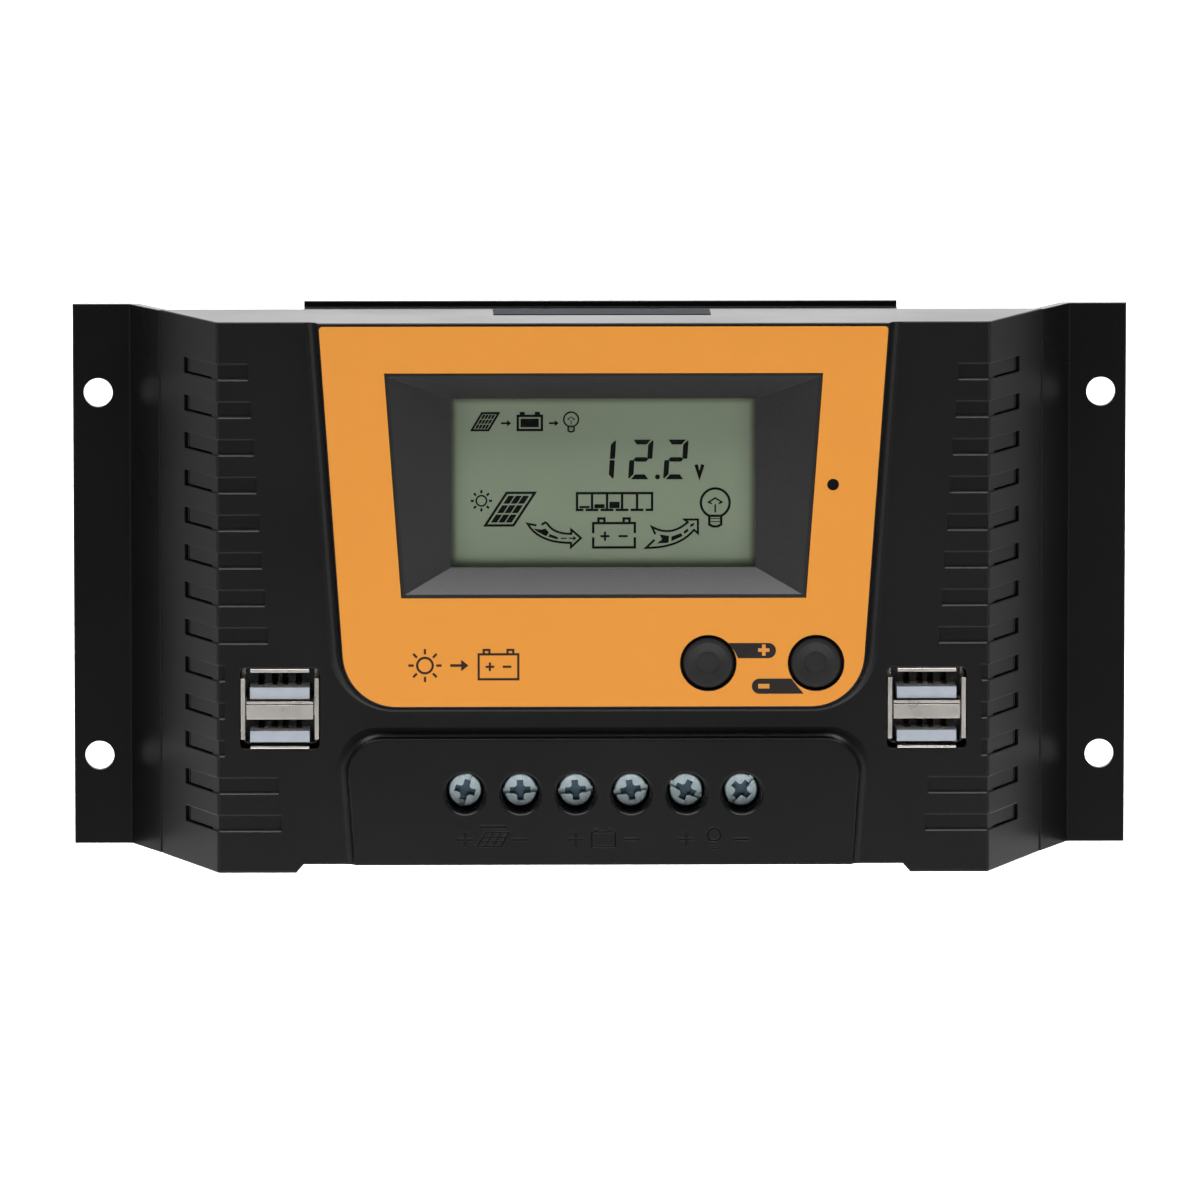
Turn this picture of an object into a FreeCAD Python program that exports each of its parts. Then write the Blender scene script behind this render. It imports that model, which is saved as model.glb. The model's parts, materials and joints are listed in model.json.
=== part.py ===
import FreeCAD, Part
import math
import os

# Solar charge controller, wall-mounted.  Millimetres.
# Frame: +X to the right of someone facing it, +Z up, the front faces -Y.  The wall is the plane Y = 0 and
# the origin is the centre of the four mounting holes on that plane.
# Every depth d below is a distance in front of the wall, so Y = -d.

os.makedirs("parts", exist_ok=True)
V = FreeCAD.Vector

# ---------------------------------------------------------------- driving dimensions
OVERALL_WIDTH = 200.0
PLATE_HEIGHT = 103.0
SHEET = 2.0                      # back plate metal
EAR_CREASE_X = 89.1              # where an ear meets its sloped wall
EAR_HOLE_X = 95.2
EAR_HOLE_Z = 34.65
EAR_HOLE_R = 2.75
PLATFORM_X = 83.3                # where a sloped wall meets the raised platform
PLATFORM_D = 16.0                # front of the platform
FLANGE_X = 56.0                  # half width of the flange along the top edge
FLANGE_D = 8.0                   # rear of the flange's lip
LIP_HEIGHT = 1.15
PLATE_EDGE_R = 0.4

COVER_REAR_X = 83.1
COVER_FRONT_X = 72.0
COVER_Z = 51.65                  # half height of the cover
WING_D = 45.0                    # front face of the side wings
WALL = 2.2
CAVITY_D = WING_D - WALL
CAVITY_TOP_Z = COVER_Z - WALL
CREASE_R = 0.8
EDGE_R = 0.3
ENTRY_Z = -50.0                  # underside of the middle section, where the wires enter
ENTRY_X = 56.0
CAVITY_BOTTOM_Z = ENTRY_Z + WALL
SIDE_SLOPE = (COVER_REAR_X - COVER_FRONT_X) / (WING_D - PLATFORM_D)

TAPER = 0.0705                   # sideways lean of the raised block's edges
BLOCK_D = 47.8
BLOCK_FOOT_X = 51.95             # half width at Z = 0, at the wing face
BLOCK_FACE_X = 49.6              # half width at Z = 0, at the front
BLOCK_FOOT_Z = -21.2
BLOCK_FACE_Z = -20.3
BLOCK_FOOT_R = 12.3
BLOCK_FACE_R = 10.3
LABEL = 0.2
LABEL_MARGIN = 0.25
LABEL_TOP_Z = 51.0
TOP_LABEL_X = 20.4
TOP_LABEL_REAR_D = 17.5
TOP_LABEL_FRONT_D = 29.5

PANEL_D = 46.7                   # raised panel in front of the terminals
PANEL_FACE_X = 50.0              # half width at Z = 0
PANEL_SKIRT = 1.95
PANEL_TOP_Z = -26.3
PANEL_CORNER_R = 6.5
FLARE_STEPS = 5                  # flats that make up the flared foot of the raised block and panel

BEZEL_TOP_Z = 42.2
BEZEL_BOTTOM_Z = 0.4
BEZEL_TOP_X = 40.7
BEZEL_BOTTOM_X = 37.6
BEZEL_FLANGE = 1.8
BEZEL_REAR_D = 41.6
WINDOW_X = 28.4
WINDOW_TOP_Z = 37.2
WINDOW_BOTTOM_Z = 5.6
WINDOW_D = 43.4
LENS_MARGIN = 2.6
LENS = 1.3
LENS_D = WINDOW_D - 0.4
LCD_X = 31.0
LCD_BOTTOM_Z = 3.4
LCD_TOP_Z = 39.4
LCD_REAR_D = 39.2
LCD_D = 41.4
LCD_RIM = 1.8                    # the backlight frame round the glass

BUTTONS = {"plus": 19.5, "minus": 39.6}
BUTTON_Z = -11.95
BUTTON_HOLE_R = 5.2
BUTTON_R = 4.8
BUTTON_D = 47.3
BUTTON_FLANGE_R = 5.8
BUTTON_TRAVEL = 0.6
DISH_R = 3.75                    # the dish in each cap, and the flat in its middle
DISH_FLAT_R = 2.1
DISH_DEPTH = 0.55
RELIEF_R = 6.8
RELIEF_D = 45.8
LED_X = 42.7
LED_Z = 21.45
LED_R = 1.0

POLES = 6
PITCH = 10.33
SCREW_Z = -36.6
ACCESS_R = 3.8
ACCESS_RIM = 0.3                 # chamfer round each access hole
HEAD_D = 40.7                    # front of the terminal screw heads
HEAD_R = 3.25
HEAD_EDGE_R = 0.4
HEAD = 2.4
THREAD_R = 1.95
SLOT_ANGLES = (75.0, 2.0, 5.0, 10.0, -25.0, 50.0)

USB_X = 60.4
USB_Z = -20.73
USB_WIDTH = 14.55
USB_HEIGHT = 14.95
USB_D = 45.45
USB_DEPTH = 17.9
USB_HOLE_R = 1.1                 # corners of the hole round each stack

VENTS = 13
VENT_PITCH = 7.05
VENT_HEIGHT = 3.0
VENT_END_X = 63.1                # inner end at Z = 0
SHORT_VENT_END_X = 70.6
SHORT_VENTS = (8, 9, 10)         # beside the USB stacks, counted from the top
VENT_REAR_D = 28.3
VENT_FRONT_DEPTH = 0.8
VENT_SIDE_DEPTH = 0.45
VENT_LEDGE = 0.3                 # slope along the front edge of each pocket's foot
VENT_SLITS = ((0.0, 0.75), (1.25, 1.6))          # upright slits through the side wall, from the rear end
VENT_FOOT = 0.32                 # height of the slit along each pocket's foot

BOARD = 1.6
PIN_PITCH = 2.54
MAIN_BOARD_D = 21.0              # rear of the main board
MAIN_BOARD_X = 71.0
MAIN_BOARD_Z = 47.0
MAIN_FRONT_D = MAIN_BOARD_D + BOARD
DISPLAY_BOARD_D = 34.3
DISPLAY_FRONT_D = DISPLAY_BOARD_D + BOARD
COVER_SCREW_X = 75.5
COVER_SCREW_Z = 44.0
COVER_POST_R = 3.2
COVER_POST_D = 27.0              # front of the posts that the cover screws go into
COVER_PILOT_R = 1.35
STANDOFF_X = 66.0
STANDOFF_Z = 42.0
STANDOFF_R = 3.0
DISPLAY_POSTS = ((-47.5, 41.5), (47.5, 41.5), (-47.5, -4.0), (47.5, -4.0))
DISPLAY_POST_R = 2.9
DISPLAY_PILOT_R = 1.1
M3_R = 1.5
M3_HEAD_R = 2.7
M3_HOLE_R = 1.6
PIN_HOLE_R = 0.5
BEYOND = 1.0                     # how far a cutting tool runs past the face it opens


# ---------------------------------------------------------------- helpers
def save(name, shape):
    shape.exportStep(os.path.join("parts", name + ".step"))


def box(x0, x1, d0, d1, z0, z1):
    return Part.makeBox(x1 - x0, d1 - d0, z1 - z0, V(x0, -d1, z0))


def post(x, z, radius, d0, d1):
    return Part.makeCylinder(radius, d1 - d0, V(x, -d0, z), V(0, -1, 0))


def rounded_wire(points, radii):
    """Closed wire through points of one plane, with each corner rounded by its radius."""
    count = len(points)
    corners = []
    for i, here in enumerate(points):
        to_before = (points[i - 1] - here).normalize()
        to_after = (points[(i + 1) % count] - here).normalize()
        half = to_before.getAngle(to_after) / 2
        if radii[i] > 0:
            run = radii[i] / math.tan(half)
            middle = (to_before + to_after).normalize() * (radii[i] / math.sin(half) - radii[i])
            corners.append((here + to_before * run, here + middle, here + to_after * run))
        else:
            corners.append((here, None, here))
    edges = []
    for i, (start, middle, end) in enumerate(corners):
        if middle is not None:
            edges.append(Part.Arc(start, middle, end).toShape())
        following = corners[(i + 1) % count][0]
        edges.append(Part.LineSegment(end, following).toShape())
    return Part.Wire(edges)


def outline(points, d, radii=None):
    """Closed wire through (x, z) points at depth d."""
    return rounded_wire([V(x, -d, z) for x, z in points], radii or [0.0] * len(points))


def prism(points, d0, d1, radii=None):
    return Part.Face(outline(points, d0, radii)).extrude(V(0, d0 - d1, 0))


def frustum(rear_points, rear_d, front_points, front_d, rear_radii=None, front_radii=None):
    wires = [outline(rear_points, rear_d, rear_radii), outline(front_points, front_d, front_radii)]
    return Part.makeLoft(wires, True, True)


def extrusion(points, z0, z1, radii=None):
    """Solid with a plan outline given as (x, d) points, from height z0 to z1."""
    wire = rounded_wire([V(x, -d, z0) for x, d in points], radii or [0.0] * len(points))
    return Part.Face(wire).extrude(V(0, 0, z1 - z0))


def rectangle(half_x, z0, z1):
    return [(-half_x, z0), (half_x, z0), (half_x, z1), (-half_x, z1)]


def fused(shapes):
    return shapes[0].multiFuse(shapes[1:]).removeSplitter()


def without(shape, tools):
    return shape.cut(Part.makeCompound(tools)) if tools else shape


def mirrored(shape):
    return shape.mirror(V(0, 0, 0), V(1, 0, 0))


def front_rims(shape, d):
    """The edges of a shape that lie wholly in the plane at depth d."""
    return [edge for edge in shape.Edges
            if abs(edge.BoundBox.YMin + d) < 0.01 and abs(edge.BoundBox.YMax + d) < 0.01]


def pole_x(index):
    return (index - (POLES - 1) / 2) * PITCH


def pan_screw(x, z, radius, head_radius, head, d_seat, d_tip):
    """Pan-head screw whose head sits at d_seat and whose shank runs to d_tip, with a cross recess."""
    away = 1 if d_tip < d_seat else -1
    d_top = d_seat + away * head
    screw = fused([post(x, z, head_radius, min(d_seat, d_top), max(d_seat, d_top)),
                   post(x, z, radius, min(d_seat, d_tip), max(d_seat, d_tip))])
    low, high = sorted((d_top - away * head * 0.5, d_top + away))
    arm, half = head_radius * 0.55, head_radius * 0.14
    return without(screw, [box(x - arm, x + arm, low, high, z - half, z + half),
                           box(x - half, x + half, low, high, z - arm, z + arm)])


# ---------------------------------------------------------------- back plate and front cover
def back_plate():
    half = OVERALL_WIDTH / 2
    slope = (EAR_CREASE_X - PLATFORM_X) / (PLATFORM_D - SHEET)
    shift = SHEET * (math.sqrt(1 + slope ** 2) - slope)
    right = [(half, 0), (half, SHEET), (EAR_CREASE_X, SHEET), (PLATFORM_X, PLATFORM_D)]
    inner = [(PLATFORM_X - shift, PLATFORM_D - SHEET), (EAR_CREASE_X - shift, 0)]
    profile = right + [(-x, d) for x, d in reversed(right)] + [(-x, d) for x, d in inner[::-1]] + inner
    plate = extrusion(profile, -PLATE_HEIGHT / 2, PLATE_HEIGHT / 2, [PLATE_EDGE_R] * len(profile))
    top = PLATE_HEIGHT / 2
    flange = box(-FLANGE_X, FLANGE_X, FLANGE_D, PLATFORM_D - SHEET / 2, top - SHEET, top)
    lip = box(-FLANGE_X, FLANGE_X, FLANGE_D, FLANGE_D + SHEET, top - SHEET, top + LIP_HEIGHT)
    holes = []
    for sx in (-1, 1):
        for sz in (-1, 1):
            holes.append(post(sx * EAR_HOLE_X, sz * EAR_HOLE_Z, EAR_HOLE_R, -BEYOND, SHEET + BEYOND))
            holes.append(platform_hole(sx * COVER_SCREW_X, sz * COVER_SCREW_Z, M3_HOLE_R))
            holes.append(platform_hole(sx * STANDOFF_X, sz * STANDOFF_Z, M3_HOLE_R))
    holes += [platform_hole(x, MOSFET_SCREW_Z, M3_R + 0.05) for x in MOSFET_XS]
    return without(fused([plate, flange, lip]), holes)


def platform_hole(x, z, radius):
    return post(x, z, radius, PLATFORM_D - SHEET - BEYOND, PLATFORM_D + BEYOND)


def tapered(half_at_zero, z):
    return half_at_zero + TAPER * z


def block_points(half_at_zero, z0, z1):
    low, high = tapered(half_at_zero, z0), tapered(half_at_zero, z1)
    return [(-low, z0), (low, z0), (high, z1), (-high, z1)]


def between(low, high, share):
    return low + (high - low) * share


def raised(foot, foot_radii, face, face_radii, d):
    """A pad on the wing face whose sides flare out at the foot; its front edge is rounded at depth d."""
    levels = []
    for i in range(FLARE_STEPS + 1):
        angle = math.radians(90) * i / FLARE_STEPS
        inward = math.sin(angle)
        outline = [(between(a[0], b[0], inward), between(a[1], b[1], inward)) for a, b in zip(foot, face)]
        radii = [between(a, b, inward) for a, b in zip(foot_radii, face_radii)]
        levels.append((outline, between(d, WING_D, math.cos(angle)), radii))
    steps = [frustum(low[0], low[1], high[0], high[1], low[2], high[2])
             for low, high in zip(levels, levels[1:])]
    steps[-1] = steps[-1].makeFillet(EDGE_R, front_rims(steps[-1], d))
    return fused([prism(foot, WING_D - 1, WING_D, foot_radii)] + steps)


def raised_block():
    return raised(block_points(BLOCK_FOOT_X, BLOCK_FOOT_Z, COVER_Z), [BLOCK_FOOT_R] * 2 + [0] * 2,
                  block_points(BLOCK_FACE_X, BLOCK_FACE_Z, COVER_Z), [BLOCK_FACE_R] * 2 + [0] * 2, BLOCK_D)


def terminal_panel():
    bottom = ENTRY_Z - 1
    return raised(block_points(PANEL_FACE_X + PANEL_SKIRT, bottom, PANEL_TOP_Z + PANEL_SKIRT),
                  [0] * 2 + [PANEL_CORNER_R + 1] * 2,
                  block_points(PANEL_FACE_X, bottom, PANEL_TOP_Z), [0] * 2 + [PANEL_CORNER_R] * 2, PANEL_D)


def side_strip(d0, d1, inward, outward, z0, z1):
    """Solid along the right-hand side wall, from depth d0 to d1, reaching in and out from its face."""
    length = math.hypot(1, SIDE_SLOPE)
    nx, nd = 1 / length, SIDE_SLOPE / length

    def face(d, offset):
        return (COVER_REAR_X - (d - PLATFORM_D) * SIDE_SLOPE + nx * offset, d + nd * offset)

    return extrusion([face(d0, outward), face(d1, outward), face(d1, -inward), face(d0, -inward)], z0, z1)


def vent_tools():
    """Pockets that wrap the right-hand front edge, each with slits through the side wall."""
    tools = []
    for i in range(VENTS):
        middle = ((VENTS - 1) / 2 - i) * VENT_PITCH
        top, bottom = middle + VENT_HEIGHT / 2, middle - VENT_HEIGHT / 2
        end = SHORT_VENT_END_X if i in SHORT_VENTS else tapered(VENT_END_X, middle)
        floor = WING_D - VENT_FRONT_DEPTH
        edge = bottom - VENT_LEDGE / 2
        section = [V(end, -WING_D - 1, top), V(end, -floor, top), V(end, -floor, edge + VENT_LEDGE),
                   V(end, VENT_LEDGE - WING_D, edge + VENT_LEDGE), V(end, -WING_D, edge),
                   V(end, -WING_D - 1, edge)]
        front = Part.Face(Part.makePolygon(section + section[:1]))
        tools.append(front.extrude(V(COVER_FRONT_X + 3 - end, 0, 0)))
        tools.append(side_strip(VENT_REAR_D, WING_D + 0.6, VENT_SIDE_DEPTH, 2, bottom, top))
        for rear, front in VENT_SLITS:
            tools.append(side_strip(VENT_REAR_D + rear, VENT_REAR_D + front, WALL + 2, 2, bottom, top))
        tools.append(side_strip(VENT_REAR_D, CAVITY_D - 1.5, WALL + 2, 2, bottom, bottom + VENT_FOOT))
    return tools


def symbol_strokes():
    """Shallow marks under the terminals: a plus, a pictogram and a minus for each pair of poles."""
    low, high = PANEL_D - 0.25, PANEL_D + 1
    stroke = 0.22
    row = -45.2
    marks = []
    for pair in range(POLES // 2):
        left, right = pole_x(2 * pair), pole_x(2 * pair + 1)
        centre = (left + right) / 2
        marks.append(box(left - 1.4, left + 1.4, low, high, row - stroke, row + stroke))
        marks.append(box(left - stroke, left + stroke, low, high, row - 1.4, row + 1.4))
        marks.append(box(right - 1.4, right + 1.4, low, high, row - stroke, row + stroke))
        marks.extend(PICTOGRAMS[pair](centre, row, low, high, stroke))
    return marks


def panel_mark(x, z, low, high, stroke):
    """A tilted solar panel of three by three cells under a short bar."""
    lean, half, tall = 0.8, 2.2, 1.3
    thin = stroke / 2
    marks = [box(x - 2.4, x + 2.4, low, high, z + 2.2, z + 2.2 + 2 * stroke)]
    for i in range(4):
        level = -tall + i * 2 * tall / 3
        left, right = x + lean * level / tall - half - thin, x + lean * level / tall + half + thin
        marks.append(box(left, right, low, high, z + level - thin, z + level + thin))
        foot = x - half + i * 2 * half / 3 - lean
        line = [(foot - thin, z - tall), (foot + thin, z - tall),
                (foot + thin + 2 * lean, z + tall), (foot - thin + 2 * lean, z + tall)]
        marks.append(prism(line, low, high))
    return marks


def battery_mark(x, z, low, high, stroke):
    outer = box(x - 2.3, x + 2.3, low, high, z - 1.5, z + 1.5)
    inner = box(x - 2.3 + stroke, x + 2.3 - stroke, low, high, z - 1.5 + stroke, z + 1.5 - stroke)
    studs = [box(x + side * 1.3 - 0.4, x + side * 1.3 + 0.4, low, high, z + 1.5, z + 2.0) for side in (-1, 1)]
    return [outer.cut(inner)] + studs


def bulb_mark(x, z, low, high, stroke):
    ring = post(x, z + 0.9, 1.3, low, high).cut(post(x, z + 0.9, 1.3 - stroke, low, high))
    base = [box(x - 0.5, x + 0.5, low, high, z - 0.9 - i * 0.5, z - 0.9 - i * 0.5 + stroke) for i in range(3)]
    return [ring] + base


PICTOGRAMS = (panel_mark, battery_mark, bulb_mark)


def bezel_points(grow, z0=BEZEL_BOTTOM_Z, z1=BEZEL_TOP_Z):
    low, high = BEZEL_BOTTOM_X + grow, BEZEL_TOP_X + grow
    return [(-low, z0 - grow), (low, z0 - grow), (high, z1 + grow), (-high, z1 + grow)]


def wire_way(x, low, high):
    """The opening that a wire goes up through, into its clamp."""
    return box(x - ENTRY_HALF_X, x + ENTRY_HALF_X, ENTRY_REAR_D, ENTRY_FRONT_D, low, high)


def front_cover():
    side = [(COVER_REAR_X, PLATFORM_D), (COVER_FRONT_X, WING_D)]
    plan = side + [(-x, d) for x, d in reversed(side)]
    shell = extrusion(plan, -COVER_Z, COVER_Z)
    creases = [edge for edge in shell.Edges
               if edge.BoundBox.ZLength > COVER_Z and abs(edge.BoundBox.YMin + WING_D) < 0.01]
    shell = shell.makeFillet(CREASE_R, creases)
    shell = shell.makeFillet(EDGE_R, front_rims(shell, WING_D))
    shell = fused([shell, raised_block(), terminal_panel()])
    across = WALL * math.hypot(1, SIDE_SLOPE)
    inside = [(COVER_REAR_X - across + SIDE_SLOPE, PLATFORM_D - 1),
              (COVER_REAR_X - across - (CAVITY_D - PLATFORM_D) * SIDE_SLOPE, CAVITY_D)]
    cavity = extrusion(inside + [(-x, d) for x, d in reversed(inside)], CAVITY_BOTTOM_Z, CAVITY_TOP_Z)
    foot_z = -COVER_Z - 0.1
    notch = [(-ENTRY_X - 1.5, foot_z), (ENTRY_X + 1.5, foot_z), (ENTRY_X, ENTRY_Z), (-ENTRY_X, ENTRY_Z)]
    tools = [cavity, prism(notch, PLATFORM_D - 1, BLOCK_D + 1)]
    tools.append(prism(bezel_points(0.1), CAVITY_D - 1, BLOCK_D + 1))
    for x in BUTTONS.values():
        tools.append(post(x, BUTTON_Z, BUTTON_HOLE_R, CAVITY_D - 1, BLOCK_D + 1))
        tools.append(post(x, BUTTON_Z, RELIEF_R, CAVITY_D - 1, RELIEF_D))
    tools.append(post(LED_X, LED_Z, LED_R + 0.05, CAVITY_D - 1, BLOCK_D + 1))
    for i in range(POLES):
        x = pole_x(i)
        tools.append(post(x, SCREW_Z, ACCESS_R, CAVITY_D - 1, PANEL_D + 1))
        tools.append(Part.makeCone(ACCESS_R, ACCESS_R + 2 * ACCESS_RIM, 2 * ACCESS_RIM,
                                   V(x, ACCESS_RIM - PANEL_D, SCREW_Z), V(0, -1, 0)))
        tools.append(wire_way(x, ENTRY_Z - BEYOND, CAVITY_BOTTOM_Z + BEYOND))
    right_hand = vent_tools() + [prism(usb_outline(0.15), CAVITY_D - 1, WING_D + 1, [USB_HOLE_R] * 4)]
    tools += right_hand + [mirrored(tool) for tool in right_hand]
    tools += symbol_strokes()
    shell = without(shell, tools)
    posts = [post(x, z, DISPLAY_POST_R, DISPLAY_FRONT_D, CAVITY_D + 0.5) for x, z in DISPLAY_POSTS]
    pilots = [post(x, z, DISPLAY_PILOT_R, DISPLAY_FRONT_D - 1, CAVITY_D - 1) for x, z in DISPLAY_POSTS]
    for sx in (-1, 1):
        for sz in (-1, 1):
            x, z = sx * COVER_SCREW_X, sz * COVER_SCREW_Z
            posts.append(post(x, z, COVER_POST_R, PLATFORM_D, COVER_POST_D))
            pilots.append(post(x, z, COVER_PILOT_R, PLATFORM_D - 1, COVER_POST_D - 1.5))
    return without(fused([shell] + posts), pilots)


def face_label():
    sheet = prism(block_points(BLOCK_FACE_X - LABEL_MARGIN, BLOCK_FACE_Z + LABEL_MARGIN, LABEL_TOP_Z),
                  BLOCK_D, BLOCK_D + LABEL, [BLOCK_FACE_R - LABEL_MARGIN] * 2 + [0.6] * 2)
    tools = [prism(bezel_points(0.12), BLOCK_D - 1, BLOCK_D + 1)]
    tools += [post(x, BUTTON_Z, BUTTON_HOLE_R + 0.1, BLOCK_D - 1, BLOCK_D + 1) for x in BUTTONS.values()]
    tools.append(post(LED_X, LED_Z, LED_R + 0.1, BLOCK_D - 1, BLOCK_D + 1))
    return without(sheet, tools)


def top_label():
    return box(-TOP_LABEL_X, TOP_LABEL_X, TOP_LABEL_REAR_D, TOP_LABEL_FRONT_D, COVER_Z, COVER_Z + 0.15)


# ---------------------------------------------------------------- display
def display_bezel():
    body = fused([prism(bezel_points(0.0), BEZEL_REAR_D, BLOCK_D + LABEL - 0.05),
                  prism(bezel_points(BEZEL_FLANGE), BEZEL_REAR_D, CAVITY_D)])
    window = rectangle(WINDOW_X, WINDOW_BOTTOM_Z, WINDOW_TOP_Z)
    front = BLOCK_D + LABEL
    funnel = frustum(window, WINDOW_D, bezel_points(-0.5), front)
    opening = prism(window, BEZEL_REAR_D - 1, WINDOW_D + 0.1)
    seat = prism(lens_points(0.1), BEZEL_REAR_D - 1, LENS_D)
    return without(body, [funnel, opening, seat])


def lens_points(grow):
    margin = LENS_MARGIN + grow
    return rectangle(WINDOW_X + margin, WINDOW_BOTTOM_Z - margin, WINDOW_TOP_Z + margin)


def display_lens():
    return prism(lens_points(0), LENS_D - LENS, LENS_D)


def glass_points(grow):
    return rectangle(LCD_X + grow, LCD_BOTTOM_Z - grow, LCD_TOP_Z + grow)


def lcd_panel():
    return prism(glass_points(0), LCD_REAR_D, LCD_D)


def lcd_backlight():
    frame = prism(glass_points(LCD_RIM), DISPLAY_FRONT_D, LCD_D - 0.4)
    return frame.cut(prism(glass_points(0.05), LCD_REAR_D, LCD_D))


def display_board():
    board = prism(rectangle(51.0, -18.5, 46.0), DISPLAY_BOARD_D, DISPLAY_FRONT_D)
    low, high = DISPLAY_BOARD_D - BEYOND, DISPLAY_FRONT_D + BEYOND
    holes = [post(x, z, DISPLAY_PILOT_R + 0.2, low, high) for x, z in DISPLAY_POSTS]
    holes += [post(x, z, PIN_HOLE_R, low, high) for x, z in header_places()]
    return without(board, holes)


def display_board_screws():
    screws = [pan_screw(x, z, 1.05, 2.2, 1.5, DISPLAY_BOARD_D, 40.5) for x, z in DISPLAY_POSTS]
    return Part.makeCompound(screws)


HEADER_PINS = 10
HEADER_X = -26.67                # first pin
HEADER_Z = -14.0
HEADER_D = 31.0
HEADER_PIN = 0.28                # half width


def header_places():
    return [(HEADER_X + PIN_PITCH * i, HEADER_Z) for i in range(HEADER_PINS)]


def board_header():
    xs = [x for x, z in header_places()]
    half = PIN_PITCH / 2
    block = box(min(xs) - half, max(xs) + half, MAIN_FRONT_D, HEADER_D, HEADER_Z - half, HEADER_Z + half)
    return without(block, [post(x, z, HEADER_PIN * 1.5, MAIN_FRONT_D - BEYOND, HEADER_D + BEYOND)
                           for x, z in header_places()])


def header_pins():
    low, high = MAIN_BOARD_D - 0.8, DISPLAY_FRONT_D + 0.8
    pins = [box(x - HEADER_PIN, x + HEADER_PIN, low, high, z - HEADER_PIN, z + HEADER_PIN)
            for x, z in header_places()]
    return Part.makeCompound(pins)


def status_light_pipe():
    pipe = post(LED_X, LED_Z, LED_R, 38.2, BLOCK_D + LABEL - 0.4)
    return fused([pipe, post(LED_X, LED_Z, LED_R + 0.5, 41.6, CAVITY_D)])


def status_led():
    return box(LED_X - 1.6, LED_X + 1.6, DISPLAY_FRONT_D, 38.0, LED_Z - 1.4, LED_Z + 1.4)


# ---------------------------------------------------------------- buttons
SWITCH_TOP_D = 39.4
SWITCH_HALF = 3.0
PLUNGER_TOP_D = 41.2
PLUNGER_LOW_D = SWITCH_TOP_D - 0.9
PLUNGER_R = 1.7
BUTTON_REAR_D = 44.6
BUTTON_FLANGE = 1.1


def button_cap(x):
    cap = post(x, BUTTON_Z, BUTTON_R, BUTTON_REAR_D, BUTTON_D)
    cap = cap.makeFillet(0.5, front_rims(cap, BUTTON_D))
    cap = fused([cap, post(x, BUTTON_Z, BUTTON_FLANGE_R, BUTTON_REAR_D, BUTTON_REAR_D + BUTTON_FLANGE),
                 post(x, BUTTON_Z, PLUNGER_R, PLUNGER_TOP_D, BUTTON_REAR_D + 0.1)])
    dish = Part.makeCone(DISH_FLAT_R, DISH_R, DISH_DEPTH, V(x, DISH_DEPTH - BUTTON_D, BUTTON_Z), V(0, -1, 0))
    flat = post(x, BUTTON_Z, DISH_FLAT_R, BUTTON_D - DISH_DEPTH - 0.15, BUTTON_D)
    return without(cap, [dish, flat])


def switch_plunger(x):
    return post(x, BUTTON_Z, PLUNGER_R, PLUNGER_LOW_D, PLUNGER_TOP_D)


def switch_body(x):
    body = box(x - SWITCH_HALF, x + SWITCH_HALF, DISPLAY_FRONT_D, SWITCH_TOP_D,
               BUTTON_Z - SWITCH_HALF, BUTTON_Z + SWITCH_HALF)
    well_d = PLUNGER_LOW_D - BUTTON_TRAVEL - 0.2
    return body.cut(post(x, BUTTON_Z, PLUNGER_R + 0.06, well_d, SWITCH_TOP_D + BEYOND))


# ---------------------------------------------------------------- terminals
BLOCK_TOP_Z = -29.0
BLOCK_LOW_Z = CAVITY_BOTTOM_Z + 0.05
HOUSING_D = 42.6
LEDGE_D = HEAD_D - HEAD          # the ledge each head turns on
CAGE_ROOF_D = LEDGE_D - 1.0
CAGE_REAR_D = 23.6
CAGE_WALL = 0.9
CAGE_GAP = 0.2                   # clear of the housing all round
CAGE_HALF_X = 3.7
CAGE_LOW_Z = SCREW_Z - 4.5
CAGE_HIGH_Z = SCREW_Z + 4.5
NUT = 2.6
SLOT = 1.1                       # depth of each screw's slot, and of its cross recess below that
CROSS = 0.8
SLOT_HALF = 0.5
CROSS_HALF = 0.6
CROSS_ARM = 1.9
CROSS_MIDDLE_R = 1.1
BAR_REAR_D = 29.0
BAR = 1.0
BAR_HALF_X = 2.7
LEG_LOW_Z = -30.6                # the leg from each bar down to the main board
LEG_HIGH_Z = -29.6
TAIL_X = 1.7                     # two solder tails to a contact
TAIL_HALF_X = 0.5
ENTRY_HALF_X = 3.3
ENTRY_REAR_D = 24.2
ENTRY_FRONT_D = 29.4


def terminal_block():
    half = POLES * PITCH / 2
    block = box(-half, half, MAIN_FRONT_D, HOUSING_D, BLOCK_LOW_Z, BLOCK_TOP_Z)
    tools = []
    for i in range(POLES):
        x = pole_x(i)
        room = CAGE_HALF_X + CAGE_GAP
        tools.append(box(x - room, x + room, CAGE_REAR_D - CAGE_GAP, CAGE_ROOF_D,
                         CAGE_LOW_Z - CAGE_GAP, CAGE_HIGH_Z + CAGE_GAP))
        tools.append(wire_way(x, BLOCK_LOW_Z - BEYOND, CAGE_LOW_Z))
        tools.append(post(x, SCREW_Z, THREAD_R + 0.08, CAGE_ROOF_D - BEYOND, LEDGE_D + BEYOND))
        tools.append(post(x, SCREW_Z, HEAD_R + 0.3, LEDGE_D, HOUSING_D + BEYOND))
        tools.extend(contact_parts(x, 0.05))
    return without(block, tools)


def contact_parts(x, gap):
    """A flat bar through the cage, with a leg down to the main board."""
    half = BAR_HALF_X + gap
    bar_low = CAGE_LOW_Z - 1.4
    high = LEG_HIGH_Z + gap
    return [box(x - half, x + half, BAR_REAR_D - gap, BAR_REAR_D + BAR + gap, bar_low - gap, high),
            box(x - half, x + half, MAIN_FRONT_D - gap, BAR_REAR_D, LEG_LOW_Z - gap, high)]


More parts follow.
